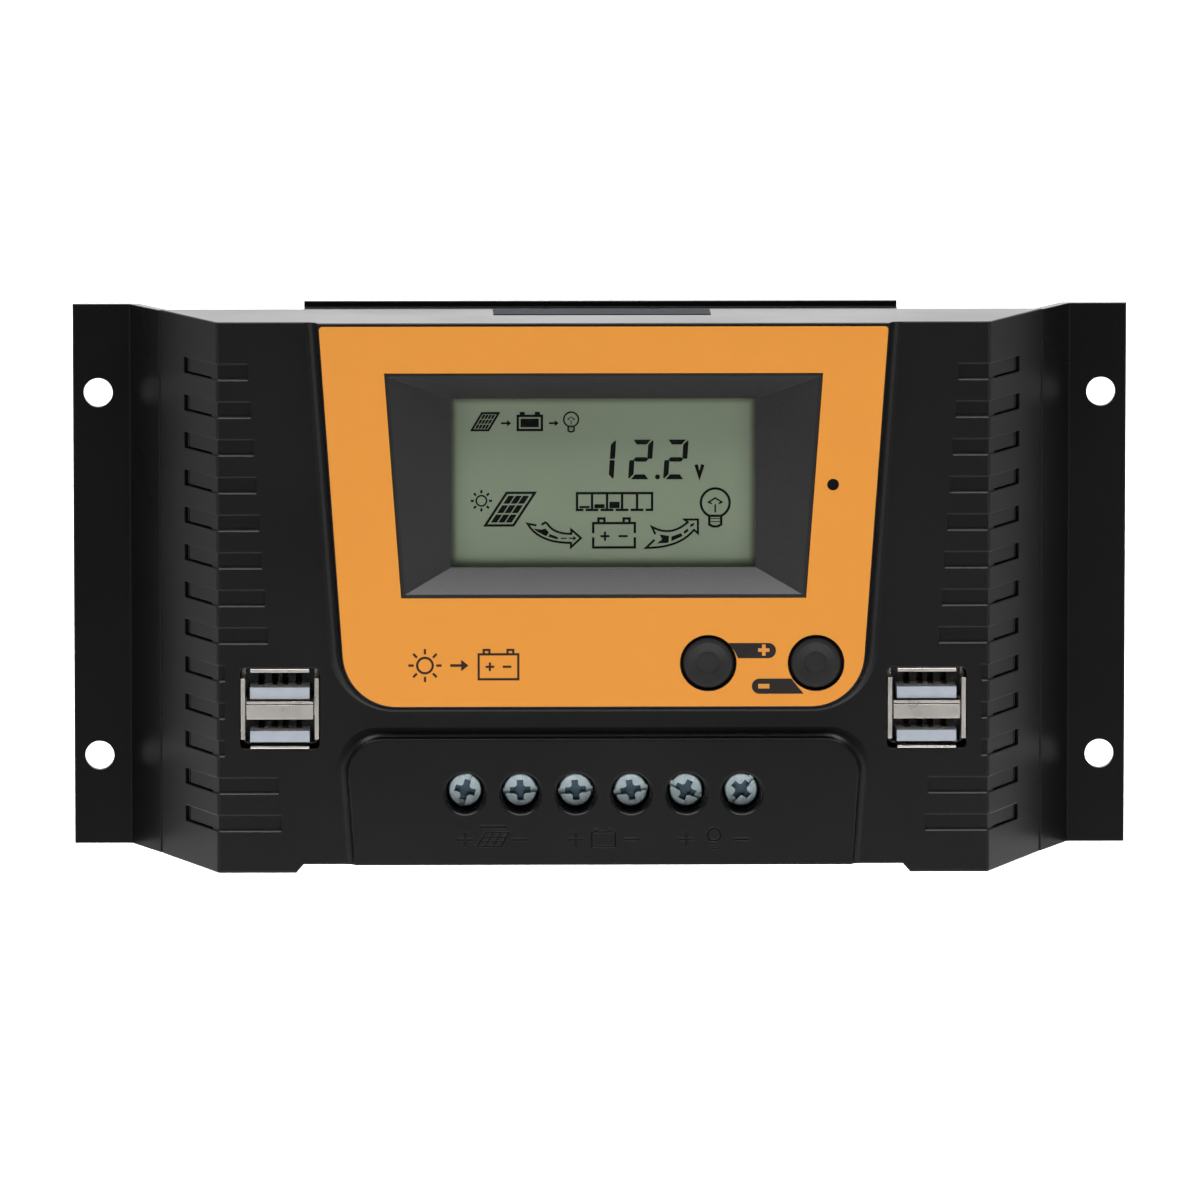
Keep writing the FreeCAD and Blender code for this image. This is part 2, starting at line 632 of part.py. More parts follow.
def tail(index, side, gap, d0, d1):
    x = pole_x(index) + side * TAIL_X
    half = TAIL_HALF_X + gap
    return box(x - half, x + half, d0, d1, LEG_LOW_Z + 0.1 - gap, LEG_HIGH_Z - 0.1 + gap)


def terminal_contacts():
    contacts = []
    for i in range(POLES):
        tails = [tail(i, side, 0, MAIN_BOARD_D - 1.2, MAIN_FRONT_D + 0.1) for side in (-1, 1)]
        contacts.append(fused(contact_parts(pole_x(i), 0) + tails))
    return Part.makeCompound(contacts)


def terminal_screw(index):
    """Pan-head clamp screw with a slot and a cross recess, turned to its own angle."""
    head = post(0, 0, HEAD_R, LEDGE_D, HEAD_D)
    head = head.makeFillet(HEAD_EDGE_R, front_rims(head, HEAD_D))
    screw = fused([head, post(0, 0, THREAD_R, BAR_REAR_D + BAR + 0.3, LEDGE_D + 0.1)])
    slot_d = HEAD_D - SLOT
    cross_d = slot_d - CROSS
    front = HEAD_D + BEYOND
    screw = without(screw, [box(-HEAD_R, HEAD_R, slot_d, front, -SLOT_HALF, SLOT_HALF),
                            box(-CROSS_HALF, CROSS_HALF, cross_d, front, -CROSS_ARM, CROSS_ARM),
                            box(-CROSS_ARM, CROSS_ARM, cross_d, front, -CROSS_HALF, CROSS_HALF),
                            post(0, 0, CROSS_MIDDLE_R, cross_d - 0.1, front)])
    screw.rotate(V(0, 0, 0), V(0, -1, 0), SLOT_ANGLES[index])
    screw.translate(V(pole_x(index), 0, SCREW_Z))
    return screw


def clamp_cage(index):
    x = pole_x(index)
    top = BAR_REAR_D + BAR + 0.1 + NUT
    cage = box(x - CAGE_HALF_X, x + CAGE_HALF_X, CAGE_REAR_D, top, CAGE_LOW_Z, CAGE_HIGH_Z)
    inner = CAGE_HALF_X - CAGE_WALL
    room = box(x - inner, x + inner, CAGE_REAR_D + 1.0, top - NUT, CAGE_LOW_Z - 1, CAGE_HIGH_Z + 1)
    return without(cage, [room, post(x, SCREW_Z, THREAD_R + 0.05, top - NUT - 1, top + 1)])


# ---------------------------------------------------------------- double USB stacks
USB_WALL = 0.75
USB_CORNER_R = 1.8
USB_LIP = 7.0                                     # how far the lips stand in front of the corners
PORT_HALF_X = 6.5
PORTS = ((-19.35, -13.85), (-27.8, -22.65))       # bottom and top of each opening
DIVIDER_GAP = 0.3                                 # between the divider's ends and the side lips
SEAM_Z = PORTS[0][0] - 0.55
SEAM = 0.25
SEAM_DEPTH = 2.5
TONGUES = ((-18.95, -16.8), (-27.05, -24.95))
TONGUE_HALF_X = 5.55
TONGUE_RECESS = 0.9
USB_BACK_D = USB_D - 9.6                          # face of the block behind the plugs
CONTACT_XS = (-3.5, -1.0, 1.0, 3.5)
CONTACT_HALF_X = 0.5
CONTACT_RECESS = 4.5
CONTACT = 0.12
SLOT_HALF_X = 0.58
SLOT_DEPTH = 6.0


def usb_box(half_x, d0, d1, low, high):
    """Box centred across the stack, between two depths and two heights."""
    return box(USB_X - half_x, USB_X + half_x, d0, d1, low, high)


def usb_outline(grow=0.0):
    half_x, half_z = USB_WIDTH / 2 + grow, USB_HEIGHT / 2 + grow
    return [(USB_X - half_x, USB_Z - half_z), (USB_X + half_x, USB_Z - half_z),
            (USB_X + half_x, USB_Z + half_z), (USB_X - half_x, USB_Z + half_z)]


def usb_shell():
    """Sheet box with two openings; its front lips stop short of the rounded corners."""
    half_x, half_z = USB_WIDTH / 2, USB_HEIGHT / 2
    rear_d = USB_D - USB_DEPTH
    shell = prism(usb_outline(), rear_d, USB_D, [USB_CORNER_R] * 4)
    shell = shell.makeFillet(0.15, front_rims(shell, USB_D))
    tools = [usb_box(PORT_HALF_X, rear_d + USB_WALL, USB_D + 1, low, high) for low, high in PORTS]
    tools.append(usb_box(PORT_HALF_X, USB_D - SEAM_DEPTH, USB_D + BEYOND,
                         SEAM_Z - SEAM / 2, SEAM_Z + SEAM / 2))
    divider = (PORTS[1][1], PORTS[0][0])
    for side in (-1, 1):
        x0, x1 = sorted((USB_X + side * (half_x - USB_CORNER_R), USB_X + side * (half_x + 1)))
        for z0, z1 in ((USB_Z - half_z - 1, USB_Z - half_z + USB_CORNER_R),
                       (USB_Z + half_z - USB_CORNER_R, USB_Z + half_z + 1)):
            tools.append(box(x0, x1, USB_D - USB_LIP, USB_D + 1, z0, z1))
        x0, x1 = sorted((USB_X + side * (PORT_HALF_X - DIVIDER_GAP), USB_X + side * PORT_HALF_X))
        tools.append(box(x0, x1, USB_D - USB_LIP, USB_D + 1, *divider))
    return without(shell, tools)


def usb_insulator():
    blocks = []
    for low, high in PORTS:
        block = usb_box(PORT_HALF_X, USB_D - USB_DEPTH + USB_WALL, USB_BACK_D, low, high)
        slots = [box(USB_X + x - SLOT_HALF_X, USB_X + x + SLOT_HALF_X, USB_BACK_D - SLOT_DEPTH,
                     USB_BACK_D + BEYOND, high - 2.85, high - 1.1) for x in CONTACT_XS]
        blocks.append(without(block, slots))
    return Part.makeCompound(blocks)


def usb_tongues():
    return Part.makeCompound([usb_box(TONGUE_HALF_X, USB_BACK_D, USB_D - TONGUE_RECESS, low, high)
                              for low, high in TONGUES])


def usb_contacts():
    strips = []
    for low, high in TONGUES:
        for x in CONTACT_XS:
            strips.append(box(USB_X + x - CONTACT_HALF_X, USB_X + x + CONTACT_HALF_X,
                              USB_BACK_D, USB_D - CONTACT_RECESS, high, high + CONTACT))
    return Part.makeCompound(strips)


USB_BOARD_D = USB_D - USB_DEPTH - BOARD
USB_BOARD_X = 8.4
USB_BOARD_LOW_Z = -30.0
USB_BOARD_HIGH_Z = -11.0
USB_BOARD_PINS = 5


def usb_board():
    return usb_box(USB_BOARD_X, USB_BOARD_D, USB_BOARD_D + BOARD, USB_BOARD_LOW_Z, USB_BOARD_HIGH_Z)


def usb_board_pins():
    pins = []
    for side in (-1, 1):
        for i in range(USB_BOARD_PINS):
            x = side * USB_X + (i - (USB_BOARD_PINS - 1) / 2) * PIN_PITCH
            for z in (USB_BOARD_LOW_Z + 1, USB_BOARD_HIGH_Z - 1):
                pins.append(box(x - 0.3, x + 0.3, MAIN_FRONT_D, USB_BOARD_D, z - 0.3, z + 0.3))
    return Part.makeCompound(pins)


# ---------------------------------------------------------------- power electronics
MOSFET_XS = tuple(-50.0 + 20.0 * i for i in range(6))
MOSFET_SCREW_Z = 42.0
MOSFET_X = 5.0                   # half width
MOSFET_LOW_Z = 30.0
MOSFET_HIGH_Z = 38.8
TAB_HIGH_Z = 45.5
TAB = 1.3
MOSFET = 4.3                     # tab and body together
PAD = 0.3
PAD_D = PLATFORM_D + PAD
LEAD = 0.8
LEAD_DEPTH = 0.5
LEAD_D = PAD_D + 2.2
LEAD_Z = 23.75                   # where the leads go through the main board


def lead_places(x):
    return [x + i * PIN_PITCH for i in (-1, 0, 1)]


def thermal_pad():
    pad = box(-60, 60, PLATFORM_D, PAD_D, 23.0, 46.5)
    return without(pad, [post(x, MOSFET_SCREW_Z, M3_HOLE_R, PLATFORM_D - BEYOND, PAD_D + BEYOND)
                         for x in MOSFET_XS])


def mosfet_tabs():
    parts = []
    for x in MOSFET_XS:
        tab = box(x - MOSFET_X, x + MOSFET_X, PAD_D, PAD_D + TAB, MOSFET_LOW_Z, TAB_HIGH_Z)
        parts.append(tab.cut(post(x, MOSFET_SCREW_Z, M3_HOLE_R, PAD_D - BEYOND, PAD_D + TAB + BEYOND)))
        for lead_x in lead_places(x):
            low, high = lead_x - LEAD / 2, lead_x + LEAD / 2
            bend_z = LEAD_Z + LEAD_DEPTH / 2
            flat = box(low, high, LEAD_D, LEAD_D + LEAD_DEPTH, bend_z, MOSFET_LOW_Z)
            riser = box(low, high, LEAD_D, MAIN_FRONT_D + 0.8, bend_z - LEAD_DEPTH, bend_z)
            parts.append(fused([flat, riser]))
    return Part.makeCompound(parts)


def mosfet_bodies():
    rear, front = PAD_D + TAB, PAD_D + MOSFET
    bodies = [box(x - MOSFET_X, x + MOSFET_X, rear, front, MOSFET_LOW_Z, MOSFET_HIGH_Z) for x in MOSFET_XS]
    return Part.makeCompound(bodies)


def mosfet_screws():
    screws = [pan_screw(x, MOSFET_SCREW_Z, M3_R, M3_HEAD_R, 1.6, PAD_D + TAB, PLATFORM_D - SHEET)
              for x in MOSFET_XS]
    return Part.makeCompound(screws)


def standoff_places():
    return [(sx * STANDOFF_X, sz * STANDOFF_Z) for sx in (-1, 1) for sz in (-1, 1)]


def main_board():
    board = prism(rectangle(MAIN_BOARD_X, -MAIN_BOARD_Z, MAIN_BOARD_Z), MAIN_BOARD_D, MAIN_FRONT_D)
    low, high = MAIN_BOARD_D - BEYOND, MAIN_FRONT_D + BEYOND
    holes = [post(x, z, M3_HOLE_R, low, high) for x, z in standoff_places()]
    holes += [post(x, z, PIN_HOLE_R, low, high) for x, z in header_places()]
    holes += [post(lead_x, LEAD_Z, 0.7, low, high) for x in MOSFET_XS for lead_x in lead_places(x)]
    holes += [tail(i, side, 0.1, low, high) for i in range(POLES) for side in (-1, 1)]
    return without(board, holes)


def board_standoffs():
    spacers = []
    for x, z in standoff_places():
        outer = post(x, z, STANDOFF_R, PLATFORM_D, MAIN_BOARD_D)
        spacers.append(outer.cut(post(x, z, M3_R + 0.05, PLATFORM_D, MAIN_BOARD_D)))
    return Part.makeCompound(spacers)


def board_screws():
    """One screw from the board's side and one from behind the plate into each standoff."""
    screws = []
    rear = PLATFORM_D - SHEET
    for x, z in standoff_places():
        screws.append(pan_screw(x, z, M3_R, M3_HEAD_R, 1.8, MAIN_FRONT_D, MAIN_FRONT_D - 3.8))
        screws.append(pan_screw(x, z, M3_R, M3_HEAD_R, 1.8, rear, rear + 3.8))
    return Part.makeCompound(screws)


def cover_screws():
    screws = [pan_screw(sx * COVER_SCREW_X, sz * COVER_SCREW_Z, 1.3, 2.8, 1.9, PLATFORM_D - SHEET, 24.5)
              for sx in (-1, 1) for sz in (-1, 1)]
    return Part.makeCompound(screws)


CAN_X = -61.0
CAN_ZS = (6.0, 22.0)
CAN_R = 6.25
CAN_TOP_D = 40.0


def capacitors():
    cans = []
    for z in CAN_ZS:
        can = post(CAN_X, z, CAN_R, MAIN_FRONT_D, CAN_TOP_D)
        groove = Part.makeTorus(CAN_R + 0.35, 0.7, V(CAN_X, -(MAIN_FRONT_D + 2.4), z), V(0, -1, 0))
        cans.append(can.cut(groove))
    return Part.makeCompound(cans)


INDUCTOR = (61.0, 14.0)
CORE_MID_D = MAIN_FRONT_D + 5.2
CORE_R = 7.4
CORE_HOLE_R = 3.8
CORE_HALF = 3.0                  # half the core's thickness
WIRE = 0.75
WIRE_HALF = 0.45
TURN_GAP = 0.05
TURNS = 14


def inductor_core():
    x, z = INDUCTOR
    core = post(x, z, CORE_R, CORE_MID_D - CORE_HALF, CORE_MID_D + CORE_HALF)
    return core.cut(post(x, z, CORE_HOLE_R, CORE_MID_D - CORE_HALF - BEYOND, CORE_MID_D + CORE_HALF + BEYOND))


def inductor_winding():
    """Square turns of wire round the ring core, a small gap clear of it."""
    x, z = INDUCTOR
    near, far, half = CORE_HOLE_R - TURN_GAP, CORE_R + TURN_GAP, CORE_HALF + TURN_GAP
    turns = []
    for i in range(TURNS):
        outer = box(near - WIRE, far + WIRE, CORE_MID_D - half - WIRE, CORE_MID_D + half + WIRE,
                    -WIRE_HALF, WIRE_HALF)
        turn = outer.cut(box(near, far, CORE_MID_D - half, CORE_MID_D + half, -BEYOND, BEYOND))
        turn.rotate(V(0, 0, 0), V(0, 1, 0), i * 360 / TURNS)
        turn.translate(V(x, 0, z))
        turns.append(turn)
    return Part.makeCompound(turns)


FUSE_XS = (-16.0, 16.0)
FUSE_Z = -24.1
FUSE_X = 9.5                     # half sizes of the plastic body
FUSE_HALF_Z = 2.5
FUSE_LIFT = 6.0                  # the body stands on its blades
FUSE_TALL = 7.0
BLADE_X = 6.0
BLADE_HALF_X = 2.6
BLADE_HALF_Z = 0.3


def blade_fuses():
    fuses = []
    foot = MAIN_FRONT_D + FUSE_LIFT
    for x in FUSE_XS:
        body = box(x - FUSE_X, x + FUSE_X, foot, foot + FUSE_TALL, FUSE_Z - FUSE_HALF_Z, FUSE_Z + FUSE_HALF_Z)
        blades = []
        for blade_x in (x - BLADE_X, x + BLADE_X):
            blades.append(box(blade_x - BLADE_HALF_X, blade_x + BLADE_HALF_X, MAIN_FRONT_D, foot,
                              FUSE_Z - BLADE_HALF_Z, FUSE_Z + BLADE_HALF_Z))
        fuses.append(fused([body] + blades))
    return Part.makeCompound(fuses)


SHUNT_XS = (34.0, 46.0)          # its two legs
SHUNT_Z = -24.0
SHUNT_HALF = 0.8
SHUNT_TALL = 5.0


def current_shunt():
    low, high = SHUNT_Z - SHUNT_HALF, SHUNT_Z + SHUNT_HALF
    top = MAIN_FRONT_D + SHUNT_TALL
    legs = [box(x - SHUNT_HALF, x + SHUNT_HALF, MAIN_FRONT_D, top, low, high) for x in SHUNT_XS]
    bridge = box(SHUNT_XS[0] - SHUNT_HALF, SHUNT_XS[1] + SHUNT_HALF, top - 2 * SHUNT_HALF, top, low, high)
    return fused([bridge] + legs)


CHIP_Z = 8.0
CHIP_HALF = 5.0
CHIP_LIFT = 0.15
CHIP = 1.4
CHIP_LEADS = 11                  # to a side
CHIP_LEAD_PITCH = 0.8
CHIP_LEAD_HALF = 0.15
CHIP_LEAD_REACH = 6.0


def control_chip():
    rear = MAIN_FRONT_D + CHIP_LIFT
    body = box(-CHIP_HALF, CHIP_HALF, rear, rear + CHIP, CHIP_Z - CHIP_HALF, CHIP_Z + CHIP_HALF)
    foot, top = MAIN_FRONT_D, MAIN_FRONT_D + 2 * CHIP_LEAD_HALF
    reach, half = CHIP_LEAD_REACH, CHIP_LEAD_HALF
    leads = []
    for i in range(CHIP_LEADS):
        along = (i - (CHIP_LEADS - 1) / 2) * CHIP_LEAD_PITCH
        leads.append(box(along - half, along + half, foot, top, CHIP_Z - reach, CHIP_Z + reach))
        leads.append(box(-reach, reach, foot, top, CHIP_Z + along - half, CHIP_Z + along + half))
    return fused([body] + leads)


# ---------------------------------------------------------------- write every sub-part
def build():
    save("back_plate", back_plate())
    save("front_cover", front_cover())
    save("face_label", face_label())
    save("top_label", top_label())
    save("display_bezel", display_bezel())
    save("display_lens", display_lens())
    save("lcd_panel", lcd_panel())
    save("lcd_backlight", lcd_backlight())
    save("display_board", display_board())
    save("display_board_screws", display_board_screws())
    save("board_header", board_header())
    save("header_pins", header_pins())
    save("status_light_pipe", status_light_pipe())
    save("status_led", status_led())
    for name, x in BUTTONS.items():
        save("button_cap_" + name, button_cap(x))
        save("switch_plunger_" + name, switch_plunger(x))
        save("switch_body_" + name, switch_body(x))
    save("terminal_block", terminal_block())
    save("terminal_contacts", terminal_contacts())
    for i in range(POLES):
        save("terminal_screw_%d" % (i + 1), terminal_screw(i))
        save("clamp_cage_%d" % (i + 1), clamp_cage(i))
    for name, make in (("shell", usb_shell), ("insulator", usb_insulator), ("tongues", usb_tongues),
                       ("contacts", usb_contacts), ("board", usb_board)):
        shape = make()
        save("usb_" + name + "_right", shape)
        save("usb_" + name + "_left", mirrored(shape))
    save("usb_board_pins", usb_board_pins())
    save("thermal_pad", thermal_pad())
    save("mosfet_tabs", mosfet_tabs())
    save("mosfet_bodies", mosfet_bodies())
    save("mosfet_screws", mosfet_screws())
    save("main_board", main_board())
    save("board_standoffs", board_standoffs())
    save("board_screws", board_screws())
    save("cover_screws", cover_screws())
    save("capacitors", capacitors())
    save("inductor_core", inductor_core())
    save("inductor_winding", inductor_winding())
    save("blade_fuses", blade_fuses())
    save("current_shunt", current_shunt())
    save("control_chip", control_chip())


build()
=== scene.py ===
import json
import math

import bmesh
import bpy
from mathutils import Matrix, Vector


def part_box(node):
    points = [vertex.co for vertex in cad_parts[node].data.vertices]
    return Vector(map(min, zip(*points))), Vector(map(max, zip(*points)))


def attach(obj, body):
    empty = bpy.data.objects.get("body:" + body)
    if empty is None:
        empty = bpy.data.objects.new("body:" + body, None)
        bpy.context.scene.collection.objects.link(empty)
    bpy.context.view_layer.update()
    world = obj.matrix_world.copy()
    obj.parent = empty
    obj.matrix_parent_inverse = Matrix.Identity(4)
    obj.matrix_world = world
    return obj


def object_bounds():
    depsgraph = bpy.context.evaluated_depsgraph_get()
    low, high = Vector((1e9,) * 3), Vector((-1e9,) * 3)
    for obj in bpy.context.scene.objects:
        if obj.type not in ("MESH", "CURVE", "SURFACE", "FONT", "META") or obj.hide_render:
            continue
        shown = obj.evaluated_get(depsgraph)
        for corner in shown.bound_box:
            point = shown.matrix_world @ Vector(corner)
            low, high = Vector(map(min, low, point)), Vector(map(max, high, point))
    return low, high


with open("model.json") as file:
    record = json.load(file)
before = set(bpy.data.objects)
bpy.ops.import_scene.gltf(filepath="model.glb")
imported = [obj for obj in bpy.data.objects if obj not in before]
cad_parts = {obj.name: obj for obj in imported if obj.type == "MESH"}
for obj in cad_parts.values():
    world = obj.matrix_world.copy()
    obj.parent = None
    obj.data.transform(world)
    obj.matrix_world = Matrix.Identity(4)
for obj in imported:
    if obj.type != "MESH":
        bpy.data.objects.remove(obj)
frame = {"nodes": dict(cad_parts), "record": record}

# Looks of the solar charge controller, in the frame of the CAD model: +X right, +Z up, the front faces -Y.
# Blender's unit is the metre.  Flat print work and fine relief are given in millimetres and scaled by MM.
MM = 0.001
CAD_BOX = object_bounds()
NODES = frame["nodes"]
SLOTS = {row["node"]: row["material_slot"] for row in frame["record"]["subparts"]}


# ---------------------------------------------------------------- camera, light and floor
CAMERA_AZIMUTH = 0.903           # degrees towards -X
CAMERA_ELEVATION = 6.22
CAMERA_DISTANCE = 2.2
CAMERA_TARGET = Vector((0.00007, 0.0, -0.0053))
LENS = 346.6
SENSOR = 36.0
FLOOR_DROP = 0.30                # the floor lies this far under the part, as it hangs on a wall
FLOOR_REACH = 14.0
FLOOR_ROUGHNESS = 0.9
FLOOR_PALE = 0.95
FLOOR_DIM = 0.30
FLOOR_FADE_FROM = -1.4           # the pale floor takes a painted shade between these, darkening well in front of the part
FLOOR_FADE_TO = -4.0
WORLD_DIM = 0.05                 # strength in front of the part, then behind it
WORLD_WHITE = 0.33
WORLD_DIM_FROM = -0.60           # where the one ends and the other begins, as the Y of the direction
WORLD_WHITE_FROM = 0.30
LIGHTS = (                       # name, place, aim, width, height, watts, spread in degrees
    ("overhead", (0.0, -0.15, 1.3), (0.0, -0.1, 0.0), 1.8, 1.1, 40.0, 180.0),
    ("low_front", (0.0, -0.42, -0.30), (0.0, 0.0, -0.02), 0.5, 0.12, 0.5, 180.0),
    ("behind", (0.0, 2.2, 0.75), (0.0, 0.0, 0.05), 1.6, 0.9, 9.5, 180.0),
    ("floor_wash", (0.0, 6.0, 1.6), (0.0, 6.4, -0.35), 1.2, 9.0, 110.0, 100.0),
    ("left", (-1.3, -0.9, 0.15), (0.0, 0.0, 0.0), 0.2, 0.8, 1.9, 180.0),
    ("right", (1.3, -0.9, 0.15), (0.0, 0.0, 0.0), 0.2, 0.8, 1.9, 180.0),
)


def make_camera():
    data = bpy.data.cameras.new("camera")
    data.sensor_width = SENSOR
    data.lens = LENS
    data.clip_end = 50.0
    camera = bpy.data.objects.new("camera", data)
    azimuth = math.radians(CAMERA_AZIMUTH)
    elevation = math.radians(CAMERA_ELEVATION)
    look = Vector((math.sin(azimuth) * math.cos(elevation), math.cos(azimuth) * math.cos(elevation),
                   -math.sin(elevation)))
    camera.location = CAMERA_TARGET - look * CAMERA_DISTANCE
    camera.rotation_euler = look.to_track_quat("-Z", "Y").to_euler()
    bpy.context.scene.collection.objects.link(camera)
    bpy.context.scene.camera = camera


def area_light(name, place, aim, width, height, watts, spread):
    data = bpy.data.lights.new(name, "AREA")
    data.shape = "RECTANGLE"
    data.size = width
    data.size_y = height
    data.energy = watts
    data.spread = math.radians(spread)
    light = bpy.data.objects.new(name, data)
    light.location = place
    light.rotation_euler = (Vector(aim) - Vector(place)).to_track_quat("-Z", "Y").to_euler()
    light.visible_camera = False
    bpy.context.scene.collection.objects.link(light)


def make_world():
    """White light from behind the part, falling off to dim in front of it."""
    world = bpy.data.worlds.new("studio")
    bpy.context.scene.world = world
    world.use_nodes = True
    tree = world.node_tree
    direction = tree.nodes.new("ShaderNodeTexCoord").outputs["Generated"]
    parts = tree.nodes.new("ShaderNodeSeparateXYZ")
    tree.links.new(direction, parts.inputs["Vector"])
    strength = tree.nodes.new("ShaderNodeMapRange")
    strength.interpolation_type = "SMOOTHSTEP"
    for label, value in (("From Min", WORLD_DIM_FROM), ("From Max", WORLD_WHITE_FROM),
                         ("To Min", WORLD_DIM), ("To Max", WORLD_WHITE)):
        strength.inputs[label].default_value = value
    tree.links.new(parts.outputs["Y"], strength.inputs["Value"])
    tree.links.new(strength.outputs["Result"], tree.nodes["Background"].inputs["Strength"])
    tree.nodes["Background"].inputs["Color"].default_value = (1.0, 1.0, 1.0, 1.0)


def make_light():
    bpy.context.scene.view_settings.view_transform = "Standard"
    make_world()
    for light in LIGHTS:
        area_light(*light)


def make_floor():
    low = CAD_BOX[0][2] - FLOOR_DROP
    mesh = bpy.data.meshes.new("floor")
    corners = [(-FLOOR_REACH, -FLOOR_REACH, low), (FLOOR_REACH, -FLOOR_REACH, low),
               (FLOOR_REACH, FLOOR_REACH, low), (-FLOOR_REACH, FLOOR_REACH, low)]
    mesh.from_pydata(corners, [], [(0, 1, 2, 3)])
    floor = bpy.data.objects.new("floor", mesh)
    bpy.context.scene.collection.objects.link(floor)
    finish = Finish((FLOOR_PALE,) * 3, FLOOR_ROUGHNESS)
    # painted shade: the floor's colour dims well in front of the part, so that the part's front reflects
    # darkness there
    pale = finish.smooth(finish.axis("Y"), FLOOR_FADE_TO, FLOOR_FADE_FROM)
    color = finish.ramp(pale, (FLOOR_DIM,) * 3, (FLOOR_PALE,) * 3, (0.0, 1.0))
    finish.link(color, finish.shader.inputs["Base Color"])
    mesh.materials.append(finish.done("floor"))


# ---------------------------------------------------------------- material kit
NOISE_LOW = 0.3                  # nearly all of a noise texture lies between these
NOISE_HIGH = 0.7
SLOW_DETAIL = 3.0                # octaves of the noise that drives tone and gloss
BEVEL_SAMPLES = 4


class Finish:
    """A node material that starts from one colour and takes tone, grain and painted shade, all in object
    space.
    """

    def __init__(self, color, roughness, metallic=0.0, gloss_level=0.5, alpha=1.0):
        self.material = bpy.data.materials.new("finish")
        self.material.use_nodes = True
        self.tree = self.material.node_tree
        self.shader = self.tree.nodes["Principled BSDF"]
        self.color = color
        for label, value in (("Base Color", (*color, 1.0)), ("Roughness", roughness), ("Metallic", metallic),
                             ("Specular IOR Level", gloss_level), ("Alpha", alpha)):
            self.shader.inputs[label].default_value = value
        self.place = self.node("ShaderNodeTexCoord").outputs["Object"]
        self.tint = None
        self.normal = None

    def node(self, kind, **settings):
        made = self.tree.nodes.new(kind)
        for label, value in settings.items():
            setattr(made, label, value)
        return made

    def link(self, output, socket):
        self.tree.links.new(output, socket)

    def axis(self, letter):
        parts = self.node("ShaderNodeSeparateXYZ")
        self.link(self.place, parts.inputs["Vector"])
        return parts.outputs[letter]

    def math(self, operation, first, second=None):
        """One sum; second is a number or another node's output."""
        made = self.node("ShaderNodeMath", operation=operation)
        self.link(first, made.inputs[0])
        if isinstance(second, float):
            made.inputs[1].default_value = second
        elif second is not None:
            self.link(second, made.inputs[1])
        return made.outputs[0]

    def smooth(self, value, low, high, result=(0.0, 1.0)):
        """Takes low..high to the result's two values, with soft ends."""
        made = self.node("ShaderNodeMapRange", interpolation_type="SMOOTHSTEP")
        for label, number in (("From Min", low), ("From Max", high),
                              ("To Min", result[0]), ("To Max", result[1])):
            made.inputs[label].default_value = number
        self.link(value, made.inputs["Value"])
        return made.outputs["Result"]

    def noise(self, scale, detail=2.0, stretch=(1.0, 1.0, 1.0)):
        mapping = self.node("ShaderNodeMapping")
        mapping.inputs["Scale"].default_value = stretch
        self.link(self.place, mapping.inputs["Vector"])
        texture = self.node("ShaderNodeTexNoise")
        texture.inputs["Scale"].default_value = scale
        texture.inputs["Detail"].default_value = detail
        self.link(mapping.outputs["Vector"], texture.inputs["Vector"])
        return texture.outputs["Fac"]

    def ramp(self, value, low, high, stops=(NOISE_LOW, NOISE_HIGH)):
        made = self.node("ShaderNodeValToRGB")
        for element, position, color in zip(made.color_ramp.elements, stops, (low, high)):
            element.position = position
            element.color = (*color, 1.0)
        self.link(value, made.inputs["Fac"])
        return made.outputs["Color"]

    def tone(self, scale, amount, stretch=(1.0, 1.0, 1.0)):
        """Slow drift of the colour, by the given share either way."""
        dark = tuple(c * (1.0 - amount) for c in self.color)
        light = tuple(min(1.0, c * (1.0 + amount)) for c in self.color)
        self.tint = self.ramp(self.noise(scale, SLOW_DETAIL, stretch), dark, light)
        return self

    def shade(self, share, color):
        """Blends a painted shade colour over the toned one, by the share that another node gives."""
        made = self.node("ShaderNodeMix", data_type="RGBA")
        self.link(share, made.inputs["Factor"])
        self.link(self.tint, made.inputs["A"])
        made.inputs["B"].default_value = (*color, 1.0)
        self.tint = made.outputs["Result"]
        return self

    def gloss(self, scale, low, high, stretch=(1.0, 1.0, 1.0)):
        """Roughness that wanders between two values."""
        value = self.smooth(self.noise(scale, SLOW_DETAIL, stretch), NOISE_LOW, NOISE_HIGH, (low, high))
        self.link(value, self.shader.inputs["Roughness"])
        return self

    def grain(self, scale, depth, detail=2.0, stretch=(1.0, 1.0, 1.0)):
        """Fine relief, its depth in millimetres."""
        bump = self.node("ShaderNodeBump")
        bump.inputs["Strength"].default_value = 1.0
        bump.inputs["Distance"].default_value = depth * MM
        self.link(self.noise(scale, detail, stretch), bump.inputs["Height"])
        if self.normal is not None:
            self.link(self.normal, bump.inputs["Normal"])
        self.normal = bump.outputs["Normal"]
        return self

    def soft_edges(self, radius):
        """Lets edges catch the light as if they were rounded, by a radius in millimetres."""
        bevel = self.node("ShaderNodeBevel", samples=BEVEL_SAMPLES)
        bevel.inputs["Radius"].default_value = radius * MM
        self.normal = bevel.outputs["Normal"]
        return self

    def done(self, name):
        self.material.name = name
        if self.tint is not None:
            self.link(self.tint, self.shader.inputs["Base Color"])
        if self.normal is not None:
            self.link(self.normal, self.shader.inputs["Normal"])
        return self.material


# ---------------------------------------------------------------- materials, one function to a slot
def cover_black():
    """Moulded plastic with a fine even grain."""
    finish = Finish((0.0034, 0.0033, 0.0039), 0.34, gloss_level=0.34).soft_edges(0.35)
    return finish.tone(40.0, 0.10).gloss(25.0, 0.31, 0.37).grain(5200.0, 0.008)


